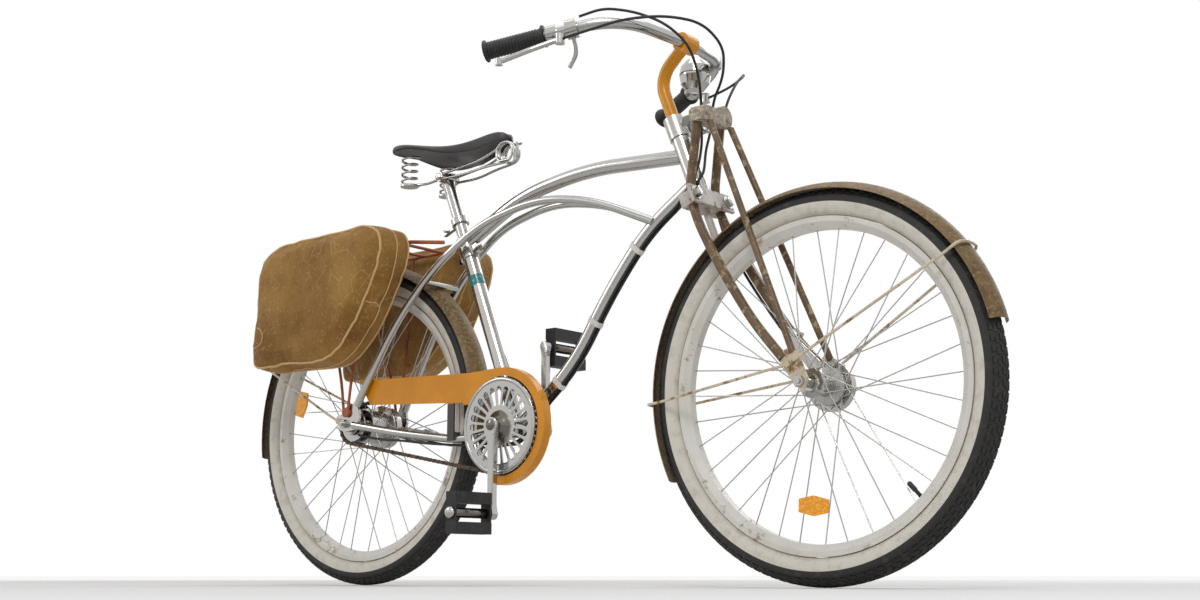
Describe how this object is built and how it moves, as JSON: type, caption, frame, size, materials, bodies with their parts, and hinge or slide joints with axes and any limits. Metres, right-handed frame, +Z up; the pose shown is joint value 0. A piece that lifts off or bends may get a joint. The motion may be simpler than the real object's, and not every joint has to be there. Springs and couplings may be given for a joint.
{
  "type": "cruiser bicycle",
  "caption": "Cruiser bicycle with a springer fork, curved cantilever frame, chain guard, mudguards, rear rack, canvas panniers, whitewall tyres and turning wheels, cranks, pedals and steering.",
  "frame": {"origin": "on top of the saddle, in the middle plane, above the seat post, 905 mm over the ground", "axes": "+X forwards, +Y to the rider's left, +Z up"},
  "size_m": [1.807, 0.596, 1.0303],
  "materials": {
    "polished_steel": "polished, worn",
    "chrome": "polished, dulled by age",
    "saddle_leather": "satin",
    "rusty_paint": "dull, rusted",
    "cream_paint": "satin, aged",
    "rusty_rod": "satin, rusted",
    "waxed_canvas": "waxed",
    "amber_paint": "gloss",
    "dark_chain": "oily, rusted",
    "black_rubber": "matt",
    "tyre_rubber": "matt",
    "white_paint": "gloss",
    "amber_plastic": "gloss"
  },
  "bodies": {
    "frame": {"head_tube": "polished_steel", "bottom_bracket": "polished_steel", "seat_tube": "polished_steel", "seat_post": "chrome", "top_tube": "polished_steel", "down_tube": "polished_steel", "arch_tubes": "polished_steel", "chainstays": "polished_steel", "saddle": "saddle_leather", "saddle_frame": "chrome", "rear_mudguard": "rusty_paint", "rear_rack": "rusty_rod", "pannier_right": "waxed_canvas", "pannier_left": "waxed_canvas", "chain_guard": "amber_paint", "chain": "dark_chain", "rear_brake": "chrome", "rear_guard_stays": "cream_paint", "cable_bands": "white_paint", "rear_brake_cable": "black_rubber", "gear_cable": "black_rubber"},
    "steering": {"fork_legs": "rusty_paint", "fork_struts": "rusty_paint", "fork_links": "cream_paint", "fork_crown": "chrome", "fork_yoke": "chrome", "fork_bracket": "chrome", "fork_spring": "rusty_paint", "front_brake": "chrome", "front_mudguard": "rusty_paint", "front_guard_stays": "cream_paint", "stem": "amber_paint", "handlebar": "chrome", "grip_right": "black_rubber", "grip_left": "black_rubber", "brake_lever_right": "chrome", "brake_lever_left": "chrome", "gear_shifter": "black_rubber", "bell": "chrome", "front_brake_cable": "black_rubber"},
    "front_wheel": {"front_tyre": "tyre_rubber", "front_rim": "white_paint", "front_hub": "chrome", "front_reflector": "amber_plastic"},
    "rear_wheel": {"rear_tyre": "tyre_rubber", "rear_rim": "white_paint", "rear_hub": "chrome", "rear_reflector": "amber_plastic"},
    "crank": {"chainwheel": "chrome", "cranks": "chrome"},
    "right_pedal": {"pedal_right": "black_rubber"},
    "left_pedal": {"pedal_left": "black_rubber"}
  },
  "joints": [
    {"name": "steering_turn", "type": "hinge", "parent": "frame", "child": "steering", "pos_m": [0.6406, 0, -0.203], "axis": [-0.3584, 0, 0.9336], "range_deg": [-35, 35], "deforming": ["rear_brake_cable", "gear_cable"]},
    {"name": "front_wheel_spin", "type": "hinge", "parent": "steering", "child": "front_wheel", "pos_m": [0.884, 0, -0.57], "axis": [0, 1, 0], "continuous": true},
    {"name": "rear_wheel_spin", "type": "hinge", "parent": "frame", "child": "rear_wheel", "pos_m": [-0.24, 0, -0.57], "axis": [0, 1, 0], "continuous": true},
    {"name": "crank_turn", "type": "hinge", "parent": "frame", "child": "crank", "pos_m": [0.197, 0, -0.6], "axis": [0, 1, 0], "continuous": true},
    {"name": "right_pedal_spin", "type": "hinge", "parent": "crank", "child": "right_pedal", "pos_m": [0.197, -0.124, -0.77], "axis": [0, 1, 0], "continuous": true},
    {"name": "left_pedal_spin", "type": "hinge", "parent": "crank", "child": "left_pedal", "pos_m": [0.197, 0.124, -0.43], "axis": [0, 1, 0], "continuous": true}
  ]
}
